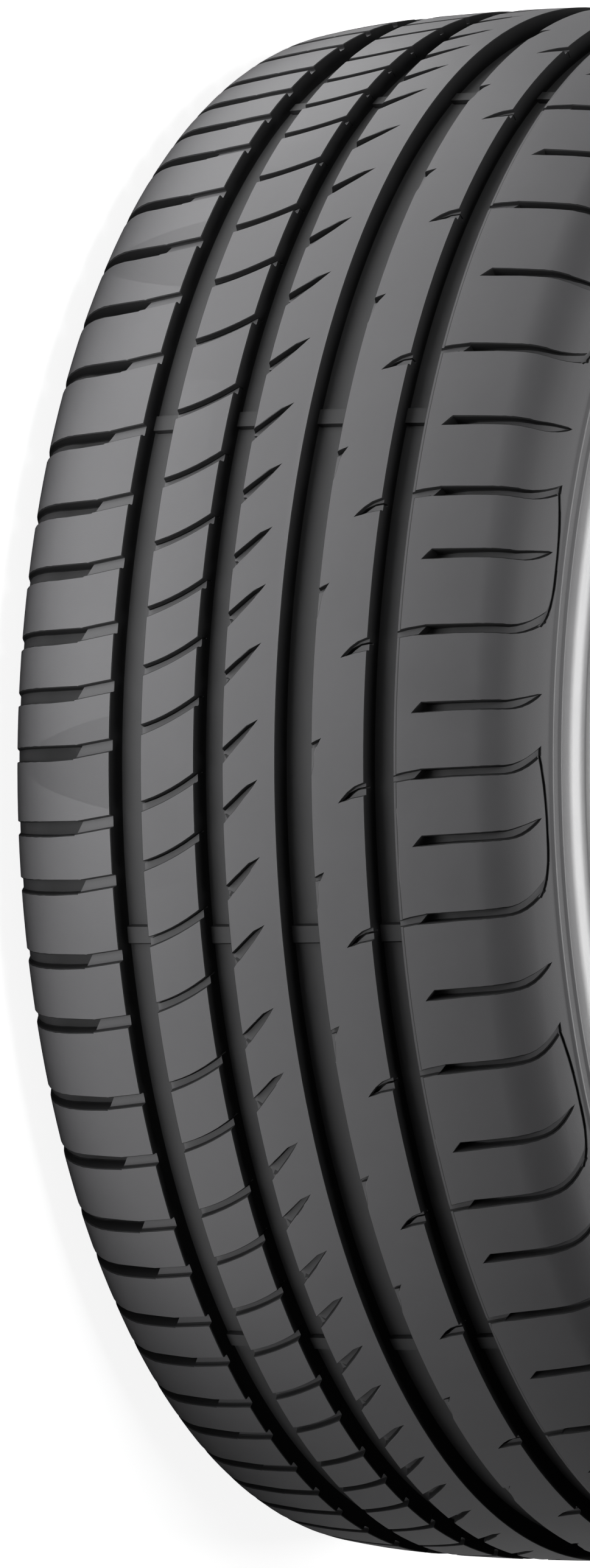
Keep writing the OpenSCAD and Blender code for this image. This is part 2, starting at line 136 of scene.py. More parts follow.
# %% The skin at any distance
def half_skin(s):
    """(z, r, slope) of the outer half of the skin at s mm from the middle of the tread."""
    if s < s_crown:
        slope = s / CROWN_R
        return (*arc_end(middle, CROWN_R, 0, slope), slope)
    if s < s_edge:
        slope = crown_slope + (s - s_crown) / EDGE_R
        return (*arc_end(crown_end, EDGE_R, crown_slope, slope), slope)
    if s < s_shoulder:
        slope = edge_slope + (s - s_edge) / SHOULDER_R
        return (*arc_end(tread_end, SHOULDER_R, edge_slope, slope), slope)
    u = (s - s_shoulder) / side_len
    lean = (math.cos(SHOULDER_SLOPE), -math.sin(SHOULDER_SLOPE))
    point = bezier(shoulder_end, tuple(p + side_len / 3 * d for p, d in zip(shoulder_end, lean)),
                   (WIDEST[0], WIDEST[1] + side_len / 3), WIDEST, u)
    return (*point, SHOULDER_SLOPE + (math.pi / 2 - SHOULDER_SLOPE) * u)

def skin(s, depth=0.0):
    """(z, r) at s, which may be negative for the inner half, and at a depth under the skin."""
    z, r, slope = half_skin(abs(s))
    z -= depth * math.sin(slope)
    return (math.copysign(1, s) * z, r - depth * math.cos(slope))

print("the skin at 100 mm is at", [round(v, 2) for v in skin(100)])

# %% [markdown]
# ## Grooves, ledge and ridges
# The four grooves run right round, so they belong to the section, and so do the fine ridges of
# the upper sidewalls. The rims of the grooves have a tiny round. A sharp corner would catch no
# light, and a real mould never leaves one.

# %% The tread part of the section
GROOVE_DEPTH, LEAN, CORNER, RIM = 7.8, 1.2, 1.6, 0.3
# the middle and the width of each groove, from the inner side to the outer one
GROOVES = [(-55.5, 14.2), (-18, 12.6), (19.4, 15.6), (56, 12)]
LEDGE_W, LEDGE_DEPTH, LEDGE_ROUND = 1.5, 0.7, 0.35
# how far apart the points of the skin are, and how far past a rim they begin
RIB_STEP, SHOULDER_STEP, PAST_RIM = 9, 8, 3
groove_rims = [(centre - width / 2, centre + width / 2) for centre, width in GROOVES]
ledge_from = groove_rims[3][1]

def groove_points(left, right):
    """The outline of one groove from its left rim to its right one."""
    straight = GROOVE_DEPTH - CORNER
    steps = [(0, -RIM), (RIM, LEAN * RIM / straight), (straight, LEAN),
             (GROOVE_DEPTH - 0.3 * CORNER, LEAN + 0.3 * CORNER), (GROOVE_DEPTH, LEAN + CORNER)]
    points = [skin(left + inward, depth) for depth, inward in steps]
    return points + [skin(right - inward, depth) for depth, inward in reversed(steps)]

def tread_points():
    """The skin from one tread edge to the other with its four grooves."""
    points, s = [], -s_edge
    for left, right in groove_rims:
        start = left - RIM
        count = max(1, round((start - s) / RIB_STEP))
        points += [skin(s + (start - s) * i / count) for i in range(count)]
        points += groove_points(left, right)
        s = right + RIM + PAST_RIM
    # the low ledge takes the place of the last groove's right rim
    ledge_to = ledge_from + LEDGE_W
    points = points[:-2] + [
        skin(ledge_from + 0.1, LEDGE_DEPTH + 0.25), skin(ledge_from + LEDGE_ROUND, LEDGE_DEPTH),
        skin(ledge_to - LEDGE_ROUND, LEDGE_DEPTH), skin(ledge_to, 0.25), skin(ledge_to + RIM, 0)]
    s = ledge_to + PAST_RIM
    count = round((s_edge - s) / SHOULDER_STEP)
    return points + [skin(s + (s_edge - s) * i / count) for i in range(count)]

print("points across the tread", len(tread_points()))

# %% [markdown]
# ## Sidewall, bead and liner
# Past the tread edge both halves are alike. The sidewall curves down to the straight face of the
# bead, the heel is round, the flat seat grips the rim, and the toe ends in a small chamfer. The
# liner inside follows the tread at the thickness of the rubber, belts and casing.

# %% The side part of the section
SIDE_WALL, BEAD_W, HEEL_R, TOE, FACE_RISE = 7, 19, 4.3, 2, 5
UNDER_TREAD, SHOULDER_SOLID = 7.7, 17
RIDGES, RIDGE_W, RIDGE_H = [36.5, 42], 1.4, 0.6
# how much lower the liner is widest, and the handles of its two curves
LINER_DROP, TOE_HANDLE, LINER_HANDLE = 10, 9, 0.55
face_top = (BEAD_FACE, BEAD_R + HEEL_R + FACE_RISE)

def side_points():
    """From the tread edge over the sidewall and the bead to the middle of the liner."""
    stops = [s_edge + i * (s_shoulder - s_edge) / 7 for i in range(8)]
    stops += [s_shoulder + (s_widest - s_shoulder) * i / 8 for i in range(1, 9)]
    bumps = []
    for reach in RIDGES:
        s = s_edge + reach
        stops = [p for p in stops if abs(p - s) > 2 * RIDGE_W]
        bumps += [(s - RIDGE_W, 0), (s - RIDGE_W / 4, -RIDGE_H), (s + RIDGE_W / 4, -RIDGE_H),
                  (s + RIDGE_W, 0)]
    points = [skin(s, depth) for s, depth in sorted([(s, 0) for s in stops] + bumps)]
    drop = (WIDEST[1] - face_top[1]) / 2
    points += [bezier(WIDEST, (WIDEST[0], WIDEST[1] - drop), (face_top[0], face_top[1] + drop),
                      face_top, i / 7) for i in range(1, 8)]
    heel = (BEAD_FACE - HEEL_R, BEAD_R + HEEL_R)
    points += [(heel[0] + HEEL_R * math.cos(a), heel[1] - HEEL_R * math.sin(a))
               for a in (math.pi / 2 * i / 4 for i in range(5))]
    toe_tip = (BEAD_FACE - BEAD_W, BEAD_R + TOE)
    points += [(toe_tip[0] + TOE, BEAD_R), toe_tip]
    liner_widest = (WIDEST[0] - SIDE_WALL, WIDEST[1] - LINER_DROP)
    liner_mid = (0, TREAD_R - GROOVE_DEPTH - UNDER_TREAD)
    liner_slope = math.asin((TREAD_W / 2 - SHOULDER_SOLID) / CROWN_R)
    liner_edge = arc_end(liner_mid, CROWN_R, 0, liner_slope)
    half_drop = (liner_widest[1] - toe_tip[1]) / 2
    points += [bezier(liner_widest, (liner_widest[0], liner_widest[1] - half_drop),
                      (toe_tip[0] + TOE_HANDLE, toe_tip[1] + TOE_HANDLE), toe_tip, i / 5)
               for i in range(4, -1, -1)]
    reach = LINER_HANDLE * (liner_widest[0] - liner_edge[0])
    lift = LINER_HANDLE * (liner_edge[1] - liner_widest[1])
    points += [bezier(liner_edge, (liner_edge[0] + reach * math.cos(liner_slope),
                                   liner_edge[1] - reach * math.sin(liner_slope)),
                      (liner_widest[0], liner_widest[1] + lift), liner_widest, i / 6)
               for i in range(5, -1, -1)]
    return points + [arc_end(liner_mid, CROWN_R, 0, liner_slope * i / 3) for i in range(2, -1, -1)]

outer = side_points()
section = tread_points() + outer + [(-z, r) for z, r in reversed(outer[1:-1])]
print("points round the section", len(section))

# %% [markdown]
# ## The cutters of the slots
# Every slot of the mould is a small blade. A blade is made here as a solid in the skin's own
# measures: across (s), along the tread (t) and down (depth). Its outline is widened a little
# where it meets the skin, which leaves a fine chamfer that catches the light, and narrowed at
# the floor, as blades are. Then it is laid on the curved skin at angle 0.

# %% Outline helpers
# cuts this near to a corner snap to it, and corners sharper than this are cut short
SNAP, SHARP = 0.02, 0.9

def signed_area(outline):
    """The area of an outline, which is negative if it runs clockwise."""
    return sum(a[0] * b[1] - b[0] * a[1] for a, b in zip(outline, outline[1:] + outline[:1])) / 2

def strips(outline, step):
    """The outline cut across into strips, so that its roof and floor can follow a curved skin.

    Gives the points round the edge, and each strip as numbers of those points."""
    work = bmesh.new()
    work.faces.new([work.verts.new((a, b, 0)) for a, b in outline])
    low, high = min(p[0] for p in outline), max(p[0] for p in outline)
    count = max(1, math.ceil((high - low) / step))
    for k in range(1, count):
        place = (low + (high - low) * k / count, 0, 0)
        bmesh.ops.bisect_plane(work, geom=work.verts[:] + work.edges[:] + work.faces[:],
                               dist=SNAP, plane_co=place, plane_no=(1, 0, 0))
    rim = {}
    for edge in work.edges:
        if len(edge.link_faces) == 1:
            loop = edge.link_loops[0]
            rim[loop.vert] = loop.link_loop_next.vert
    start = at = next(iter(rim))
    ring = []
    while not ring or at is not start:
        ring.append(at)
        at = rim[at]
    number = {vert: k for k, vert in enumerate(ring)}
    faces = [tuple(number[v] for v in face.verts) for face in work.faces]
    points = [(v.co.x, v.co.y) for v in ring]
    work.free()
    return points, faces

def widened(outline, amount):
    """The outline with each side moved out by amount. Sharp corners are cut short."""
    points = []
    for before, at, after in zip(outline[-1:] + outline[:-1], outline, outline[1:] + outline[:1]):
        sides = []
        for a, b in ((before, at), (at, after)):
            length = math.dist(a, b)
            sides.append(((b[1] - a[1]) / length, (a[0] - b[0]) / length))
        nx, ny = sides[0][0] + sides[1][0], sides[0][1] + sides[1][1]
        square = max(nx * nx + ny * ny, SHARP)
        points.append((at[0] + 2 * amount * nx / square, at[1] + 2 * amount * ny / square))
    return points

print("a widened square", widened([(0, 0), (1, 0), (1, 1), (0, 1)], 0.5))

# %% The blade
# how far a blade stands over the skin, where its chamfer starts, and its least depth and side
AIR, LIFT, LEAST_DEPTH, LEAST_SIDE = 2.5, 0.25, 0.12, 0.1

def between(stations, s):
    """The value at s of a list of (s, value) stations, held level past its ends."""
    return float(np.interp(s, [a for a, _ in stations], [b for _, b in stations]))

def mesh_of(name, verts, faces, edges=()):
    """A mesh object from millimetres. It sits at the origin with its place in its mesh."""
    mesh = bpy.data.meshes.new(name)
    mesh.from_pydata([[v / 1000 for v in p] for p in verts], edges, faces)
    shape = bpy.data.objects.new(name, mesh)
    bpy.context.collection.objects.link(shape)
    return shape

def tube_faces(sides, rings):
    """The faces between rings of points that have the same number of sides."""
    return [(a + i, a + (i + 1) % sides, a + sides + (i + 1) % sides, a + sides + i)
            for a in range(0, sides * (rings - 1), sides) for i in range(sides)]

def solid_of(name, verts, faces):
    """A closed mesh object from millimetres, with its faces turned outward."""
    shape = mesh_of(name, verts, faces)
    work = bmesh.new()
    work.from_mesh(shape.data)
    bmesh.ops.recalc_face_normals(work, faces=work.faces)
    if work.calc_volume(signed=True) < 0:
        bmesh.ops.reverse_faces(work, faces=work.faces)
    work.to_mesh(shape.data)
    work.free()
    return shape

def ring_depths(floor, chamfer, foot, roof):
    """The depths of the five rings of a blade, from its top down to its floor."""
    if roof is None:
        top = [-AIR, -LIFT, min(chamfer, 0.35 * floor)]
    else:
        top = [roof, roof + 0.05, roof + 0.1]
    return top + [max(floor - 1.5 * foot, 0.7 * floor), floor]

def blade(name, outline, depths, chamfer=0.4, foot=0.35, side=1, step=5, roof=None, bent=False):
    """A cutter with the outline [s, t] and the depths [(s, depth)], at angle 0.

    chamfer widens it at the skin, foot narrows it at the floor, side -1 puts it on the inner
    half, roof starts it under the skin, and bent takes t as an arc of the tread."""
    outline = [p for p, q in zip(outline, outline[1:] + outline[:1])
               if math.dist(p, q) > LEAST_SIDE]
    if signed_area(outline) < 0:
        outline.reverse()
    outline, caps = strips(outline, step)
    if not isinstance(depths, list):
        depths = [(0, depths)]
    top = chamfer + LIFT if roof is None else 0
    widths = (top, top, 0, 0, -foot)
    verts = []
    for level, widen in enumerate(widths):
        for (s, _), (ws, wt) in zip(outline, widened(outline, widen)):
            floor = max(between(depths, s), LEAST_DEPTH)
            z, r = skin(side * ws, ring_depths(floor, chamfer, foot, roof)[level])
            angle = wt / TREAD_R if bent else math.asin(wt / r)
            verts.append((-r * math.sin(angle), -r * math.cos(angle), z))
    last = len(verts) - len(outline)
    caps += [tuple(last + i for i in cap) for cap in caps]
    return solid_of(name, verts, tube_faces(len(outline), len(widths)) + caps)

print("a blade starts", AIR, "mm over the skin")

# %% [markdown]
# ## Inner shoulder
# A deep slot runs over the shoulder. From it a shallow stretch goes up to the groove, so that
# the shoulder blocks are tied together there. The deep slot fades out on the sidewall.

# %% Blades of the inner shoulder
INNER_DEPTH, INNER_STEP_DEPTH = 7, 2.0
inner_in, inner_out = -groove_rims[0][0] + 15.5, s_edge + 31
inner_slot = blade("inner_slot", [
    (inner_in - 1.75, 3), (inner_out, 2.4), (inner_out, -2.4),
    (inner_in + 0.28 * (inner_out - inner_in), -3), (inner_in + 1.75, -2.4)],
    [(inner_in - 3.5, INNER_DEPTH), (s_edge, INNER_DEPTH), (s_edge + 15.5, 3.15),
     (inner_out, -0.5)], side=-1)
mouth = LEAN + 1 + groove_rims[0][0]
inner_step = blade("inner_step", [
    (mouth, 5.6), (-inner_in, 3), (-inner_in - 3.5, -2.4), (mouth, 0.8)], INNER_STEP_DEPTH)
print("the inner slots reach from", round(inner_in, 1), "to", round(inner_out, 1))

# %% [markdown]
# ## The ribs
# Short curved slots cross the inner centre rib, each with a narrow sipe along its upper edge.
# The middle rib has sawtooth slots that open into a small pocket at the groove.

# %% Blades of the two middle ribs
# sipes are cut from a roof under the skin, since the slot over them is wider
SLOT_DEPTH, SIPE_DEPTH, SIPE_ROOF, SIPE_FOOT = 2.6, 5.5, 1.3, 0.05
# a sipe runs beside the upper edge of its slot, between these two distances below it
SIPE_FROM, SIPE_TO = 0.15, 0.75
# how far a blade that opens into a groove reaches past its wall
PAST_GROOVE = 0.4

def curve(f, start, rise, bend):
    """How far along the tread the edge of a rib slot is, at the share f of the rib's width."""
    return start + rise * f + bend * f * f

rib_from, rib_to = groove_rims[0][1], groove_rims[1][0]
shares = [-0.08, 0.08, 0.25, 0.42, 0.58, 0.75, 0.92, 1.08]
upper = [(rib_from + f * (rib_to - rib_from), curve(f, -3.3, 6.2, 4.9)) for f in shares]
lower = [(rib_from + f * (rib_to - rib_from), curve(f, -7.2, 7.5, 3.5)) for f in shares]
rib_slot = blade("rib_slot", upper + lower[::-1], SLOT_DEPTH, chamfer=0.3, foot=0.3)
sipe = [(s, t - SIPE_FROM) for s, t in upper] + [(s, t - SIPE_TO) for s, t in reversed(upper)]
rib_sipe = blade("rib_sipe", sipe, SIPE_DEPTH, foot=SIPE_FOOT, roof=SIPE_ROOF)

tooth_from = groove_rims[1][1]
mouth = tooth_from - LEAN - PAST_GROOVE
knee, tip = (tooth_from + 10.54, 7.68), (tooth_from + 15.5, 10.2)
tooth_slot = blade("tooth_slot", [(mouth, -2.6), knee, tip, (knee[0] - 0.6, knee[1] - 4.22),
                                  (mouth, -8.9)], SLOT_DEPTH, chamfer=0.25, foot=0.3)
tooth_sipe = blade("tooth_sipe", [(mouth, -2.7), (knee[0] - 0.3, knee[1] - 0.35),
                                  (tip[0] - 1.2, tip[1] - 0.9), (knee[0] - 0.3, knee[1] - 0.9),
                                  (mouth, -3.25)], SIPE_DEPTH, foot=SIPE_FOOT, roof=SIPE_ROOF)
tooth_pocket = blade("tooth_pocket", [(mouth, -3.1), (tooth_from + 0.6, -3.1),
                                      (tooth_from + 3.7, -5.1), (mouth, -8.6)],
                     3.8, foot=0.2, roof=1.4)
print("slots of the ribs are", round(rib_to - rib_from, 1), "and",
      round(tip[0] - tooth_from, 1), "mm long")

# %% [markdown]
# ## Notches and hooks
# The outer centre rib has a small slanted notch on one side, with a long thin chamfer below it,
# and on the other side a curved hook with a slit down its middle.

# %% Blades of the outer centre rib
NOTCH_LEN, NOTCH_DEPTH, FACET_DEPTH = 4.2, 3.0, 1.5
HOOK_LEN, HOOK_DEPTH, SLIT_DEPTH = 11, 1.5, 4.5
notch_from = groove_rims[2][1]
mouth = notch_from - LEAN - PAST_GROOVE
notch = blade("notch", [(mouth, 1.3), (notch_from + NOTCH_LEN, 4.2), (notch_from + 2.3, 1),
                        (mouth, 0)], NOTCH_DEPTH, chamfer=0.25, foot=0.2, step=2)
notch_facet = blade("notch_facet", [
    (mouth, 0.8), (notch_from + 2.3, 1.2), (notch_from + 1.5, -1.4), (notch_from + 0.84, -7),
    (mouth, -20)], FACET_DEPTH, chamfer=0.25, foot=0.2, step=4)

def along(f):
    """The place s on a hook at the share f of its length, counted from the groove."""
    return groove_rims[3][0] - f * HOOK_LEN

mouth = along(0) + LEAN + PAST_GROOVE
hook = blade("hook", [(along(1), -3.6), (along(0.64), 0.5), (along(0.36), 2.7), (mouth, 4.8),
                      (mouth, -0.5), (along(0.5), -1.8)],
             HOOK_DEPTH, chamfer=0.3, foot=0.2, step=3)
hook_slit = blade("hook_slit", [
    (along(0.93), -3.2), (along(0.64), 0.2), (along(0.27), 2.1), (mouth, 3), (mouth, 2.1),
    (along(0.27), 1.3), (along(0.45), -0.1), (along(0.64), -1.9)],
    SLIT_DEPTH, foot=0.1, roof=0.9, step=3)
print("the hooks are", HOOK_LEN, "mm long and the notches", NOTCH_LEN)

# %% [markdown]
# ## Outer shoulder
# The slots of the outer shoulder rise gently and then bend up to a point on the sidewall. They
# come in fours, with two kinds of full slot and a blind one between them. Every full slot has a
# shallow stretch to the groove, and one of them runs on into a fine line down the shoulder.

# %% Blades of the outer shoulder
OUTER_STEP_LEN, OUTER_STEP_DEPTH = 6.6, 1.8
# the share of a slot where its end starts to bend up, and its rise up to there
BEND_FROM, RISE = 0.7, 1.8
outer_in, outer_out = ledge_from + LEDGE_W + OUTER_STEP_LEN, s_edge + 30
outer_depths = [(outer_in - 1, 7.5), (outer_in + 5, 7), (outer_in + 13, 4.4), (s_edge + 5, 3.2),
                (outer_out, 0.95)]

def outer_slot(name, upper_hook, upper_power, lower_hook, lower_power):
    """One slot of the outer shoulder. The hooks and powers say how its two edges bend up."""
    def edge(start, hook, power, f):
        bend = hook * ((f - BEND_FROM) / 0.3) ** power if f > BEND_FROM else 0
        return start + RISE * f + bend
    shares = [0.07, 0.3, 0.5, 0.7, 0.76, 0.82, 0.87, 0.92, 0.96, 1]
    reach = outer_out - outer_in
    top = [(outer_in + f * reach, edge(1.85, upper_hook, upper_power, f)) for f in shares]
    low = [(outer_in + f * reach, edge(-1.35, lower_hook, lower_power, f)) for f in shares[1:]]
    return blade(name, top + low[::-1] + [(outer_in, -1.95)], outer_depths, foot=0.4)

slot_down = outer_slot("slot_down", 7.4, 1.6, 6.4, 1.7)
slot_up = outer_slot("slot_up", 6.7, 1.6, 6.7, 1.7)
slot_blind = outer_slot("slot_blind", 3.3, 1.1, 6.5, 1.9)
mouth = ledge_from - LEAN - PAST_GROOVE
outer_step = blade("outer_step", [(mouth, -0.8), (outer_in - 3.3, 0.8), (outer_in + 4, 2.05),
                                  (outer_in + 2, -1.45), (mouth, -3.35)],
                   OUTER_STEP_DEPTH, chamfer=0.3)
print("the outer slots reach from", round(outer_in, 1), "to", round(outer_out, 1))

# %% [markdown]
# ## Where each blade goes
# The slots follow in pitches of four lengths, in an uneven order that spreads the noise. The
# pitches of one side add up to one turn, and each slot lies at the sum of those before it.

# %% Angles round the tyre
MM = 1 / TREAD_R

def places(lengths, order, start):
    """The angle of each slot and the share of the turn that its pitch takes."""
    pitches = [lengths[k] for k in order]
    unit = 2 * math.pi / sum(pitches)
    angles = [start - unit * sum(pitches[:i]) for i in range(len(pitches))]
    return angles, [unit * p for p in pitches]

inner_order = ([2, 0, 0, 0, 2, 2, 2, 2, 3, 2, 1, 1, 0, 0, 2, 0, 2, 1, 3, 1, 2]
               + [0, 1, 0, 1, 0, 1, 0, 0] + [1, 2, 3, 2, 1, 0, 0, 1, 1] * 5)
outer_order = ([2, 2, 3, 3, 2, 1, 0, 1, 1, 0, 0, 1, 1, 1, 2, 0, 0, 1, 2, 3]
               + [1, 2, 3, 2, 1, 1, 0, 1, 2, 1, 1] * 4)
inner_angles, _ = places([23.8, 27.1, 30.6, 33.7], inner_order, math.radians(71.33))
outer_angles, outer_pitches = places([26.5, 31.1, 34.1, 38.1], outer_order, math.radians(57.9))
# the wear bars are a tenth of a turn apart, and every other one is a little further on
bar_angles = [math.radians(27.5 - 36 * k - 1.9 * (k % 2)) for k in range(10)]
print(len(inner_angles), "inner slots,", len(outer_angles), "outer slots,",
      len(bar_angles), "wear bars")

# %% The fine lines between the slot ends
LINE_TOP, LINE_CREST, LINE_FROM, LINE_DEPTH = 33.2, 0.48, 5, 1.0

def link_line(name, span):
    """A line from the end of a slot up to the tip of the next but one, span mm further on."""
    def middle_at(u):
        if u < LINE_CREST:
            bow = 7 * (1 - u / LINE_CREST) ** 4
        else:
            bow = 4 * ((u - LINE_CREST) / 0.52) ** 2
        return s_edge + LINE_TOP - bow
    def half(u):
        return 0.65 + 0.9 * max(0, 1 - u / 0.16)
    length = span + 3
    shares = [0, 0.035, 0.07, 0.11, 0.16, 0.24, 0.32, 0.44, 0.55, 0.66, 0.78, 0.89, 1]
    up = [(middle_at(u) + half(u), LINE_FROM + u * length) for u in shares]
    back = [(middle_at(u) - half(u), LINE_FROM + u * length) for u in reversed(shares)]
    return blade(name, up + back, LINE_DEPTH, chamfer=0.25, foot=0.2, step=6, bent=True)

spans = {}
for i in range(0, len(outer_angles), 4):
    span = (outer_pitches[i - 1] + outer_pitches[i - 2]) / MM
    spans.setdefault(round(span, 2), []).append(outer_angles[i])
lines = {span: link_line(f"line_{k}", span) for k, span in enumerate(spans)}
print("the lines have", len(lines), "lengths")

# %% The wear bars
# the top of a bar, half its length along the tread, the slant of its ends and its root
BAR_DEPTH, BAR_HALF, BAR_SLANT, BAR_ROOT = 6.2, 3.5, 0.5, 1.5
BAR_STEPS = 28

def wear_bar():
    """A bar across all four grooves, one solid that is lost inside the ribs."""
    start, end = groove_rims[0][0] - 1, ledge_from + 0.4
    foot, top = BAR_HALF + BAR_SLANT, BAR_HALF - 0.2
    outline = [(-foot, GROOVE_DEPTH + BAR_ROOT), (foot, GROOVE_DEPTH + BAR_ROOT),
               (foot, GROOVE_DEPTH), (top, BAR_DEPTH), (-top, BAR_DEPTH), (-foot, GROOVE_DEPTH)]
    verts, sides = [], len(outline)
    for k in range(BAR_STEPS + 1):
        for t, depth in outline:
            z, r = skin(start + (end - start) * k / BAR_STEPS, depth)
            verts.append((-r * math.sin(t / r), -r * math.cos(t / r), z))
    ends = [tuple(range(sides - 1, -1, -1)), tuple(range(len(verts) - sides, len(verts)))]
    return solid_of("wear_bar", verts, tube_faces(sides, BAR_STEPS + 1) + ends)

bar = wear_bar()
print("each wear bar is", round(GROOVE_DEPTH - BAR_DEPTH, 1), "mm high")

# %% [markdown]
# ## One tree for the whole tyre
# A rule makes the whole shape, so Geometry Nodes do it: the section is swept round a circle, and
# each kind of blade is set at its angles and cut away. A small group does one kind, and the tree
# uses it once for each kind. Blades of one kind never overlap, so each cut is clean.

# %% The group for one kind of blade
def node(tree, kind, links=(), **settings):
    """A node of a type, with its settings and the values or links of its input sockets."""
    made = tree.nodes.new(kind)
    for key, value in settings.items():
        setattr(made, key, value)
    for key, value in dict(links).items():
        if isinstance(value, bpy.types.NodeSocket):
            tree.links.new(value, made.inputs[key])
        else:
            made.inputs[key].default_value = value
    return made

def row_group(name):
    """A node group that sets copies of a shape, turned to the angles of some points."""
    tree = bpy.data.node_groups.new(name, "GeometryNodeTree")
    for socket in ("Shape", "Places"):
        tree.interface.new_socket(socket, in_out="INPUT", socket_type="NodeSocketObject")
    tree.interface.new_socket("Mesh", in_out="OUTPUT", socket_type="NodeSocketGeometry")
    into = node(tree, "NodeGroupInput").outputs
    shape = node(tree, "GeometryNodeObjectInfo", {"Object": into["Shape"]})
    points = node(tree, "GeometryNodeObjectInfo", {"Object": into["Places"]})
    angle = node(tree, "GeometryNodeInputNamedAttribute", {"Name": "angle"}, data_type="FLOAT")
    turned = node(tree, "ShaderNodeCombineXYZ", {"Z": angle.outputs["Attribute"]})
    copies = node(tree, "GeometryNodeInstanceOnPoints", {
        "Points": points.outputs["Geometry"], "Instance": shape.outputs["Geometry"],
        "Rotation": turned.outputs[0]})
    real = node(tree, "GeometryNodeRealizeInstances", {"Geometry": copies.outputs[0]})
    tree.links.new(real.outputs[0], node(tree, "NodeGroupOutput").inputs[0])
    return tree

def place_points(name, angles):
    """A mesh of bare points that carries one angle for each copy."""
    mesh = bpy.data.meshes.new(name)
    mesh.from_pydata([(0, 0, 0)] * len(angles), [], [])
    mesh.attributes.new("angle", "FLOAT", "POINT").data.foreach_set("value", [-a for a in angles])
    shape = bpy.data.objects.new(name, mesh)
    bpy.context.collection.objects.link(shape)
    return shape

def outer_kind(*kinds):
    """The angles of the outer slots that are of some kinds, as counted in fours."""
    return [a for i, a in enumerate(outer_angles) if i % 4 in kinds]

def shifted(angles, t):
    """The angles moved t mm along the tread."""
    return [a + t * MM for a in angles]

ribs, teeth = shifted(inner_angles, 14), shifted(inner_angles, 32.4)
notches, hooks = shifted(outer_kind(1, 3), -15.9), shifted(outer_kind(0, 2), -7.2)
rows = [
    ("Wear bars", bar, bar_angles),
    ("Inner slots", inner_slot, inner_angles),
    ("Inner steps", inner_step, inner_angles),
    ("Rib slots", rib_slot, ribs),
    ("Rib sipes", rib_sipe, ribs),
    ("Sawtooth slots", tooth_slot, teeth),
    ("Sawtooth sipes", tooth_sipe, teeth),
    ("Sawtooth pockets", tooth_pocket, teeth),
    ("Notch facets", notch_facet, notches),
    ("Notches", notch, notches),
    ("Hooks", hook, hooks),
    ("Hook slits", hook_slit, hooks),
    ("Outer slots down", slot_down, outer_kind(0)),
    ("Outer slots up", slot_up, outer_kind(2)),
    ("Blind slots", slot_blind, outer_kind(1, 3)),
    ("Outer steps", outer_step, outer_kind(0, 2)),
] + [(f"Lines {k}", lines[span], spans[span]) for k, span in enumerate(spans)]
print(len(rows), "rows of shapes")

# %% The tree of the tyre
STEPS_ROUND = 240
# Curve to Mesh lays the profile with its second axis pointing down, so z is turned round here
sweep = mesh_of("section", [(r - TREAD_R, -z, 0) for z, r in reversed(section)], [],
                [(i, (i + 1) % len(section)) for i in range(len(section))])
tree = bpy.data.node_groups.new("Tyre from its section", "GeometryNodeTree")
tree.interface.new_socket("Geometry", in_out="INPUT", socket_type="NodeSocketGeometry")
sockets = {}
for name, kind in [("Section", "NodeSocketObject"), ("Tread radius", "NodeSocketFloat"),
                   ("Steps round", "NodeSocketInt"), ("Rubber", "NodeSocketMaterial")]:
    sockets[name] = tree.interface.new_socket(name, in_out="INPUT", socket_type=kind).identifier
for name, _, _ in rows:
    for part in (name, name + " places"):
        sockets[part] = tree.interface.new_socket(part, in_out="INPUT",
                                                  socket_type="NodeSocketObject").identifier
tree.interface.new_socket("Geometry", in_out="OUTPUT", socket_type="NodeSocketGeometry")
into = node(tree, "NodeGroupInput").outputs
path = node(tree, "GeometryNodeCurvePrimitiveCircle", {"Resolution": into["Steps round"],
                                                       "Radius": into["Tread radius"]})
profile = node(tree, "GeometryNodeObjectInfo", {"Object": into["Section"]})
profile = node(tree, "GeometryNodeMeshToCurve", {"Mesh": profile.outputs["Geometry"]})
swept = node(tree, "GeometryNodeCurveToMesh", {"Curve": path.outputs["Curve"],
                                               "Profile Curve": profile.outputs[0]})
row = row_group("A row of copies")
copies = []
for name, _, _ in rows:
    placed = node(tree, "GeometryNodeGroup", {"Shape": into[name],
                                              "Places": into[name + " places"]}, node_tree=row)
    copies.append(placed.outputs[0])
joined = node(tree, "GeometryNodeMeshBoolean", operation="UNION", solver="MANIFOLD")
for part in (swept.outputs[0], copies[0]):
    tree.links.new(part, joined.inputs["Mesh 2"])
cut_away = node(tree, "GeometryNodeMeshBoolean", {"Mesh 1": joined.outputs[0]},
                operation="DIFFERENCE", solver="MANIFOLD")
for part in copies[1:]:
    tree.links.new(part, cut_away.inputs["Mesh 2"])
real = node(tree, "GeometryNodeRealizeInstances", {"Geometry": cut_away.outputs[0]})
result = node(tree, "GeometryNodeSetMaterial", {"Geometry": real.outputs[0],
                                                "Material": into["Rubber"]})
tree.links.new(result.outputs[0], node(tree, "NodeGroupOutput").inputs[0])
print("the tree has", len(tree.nodes), "nodes")
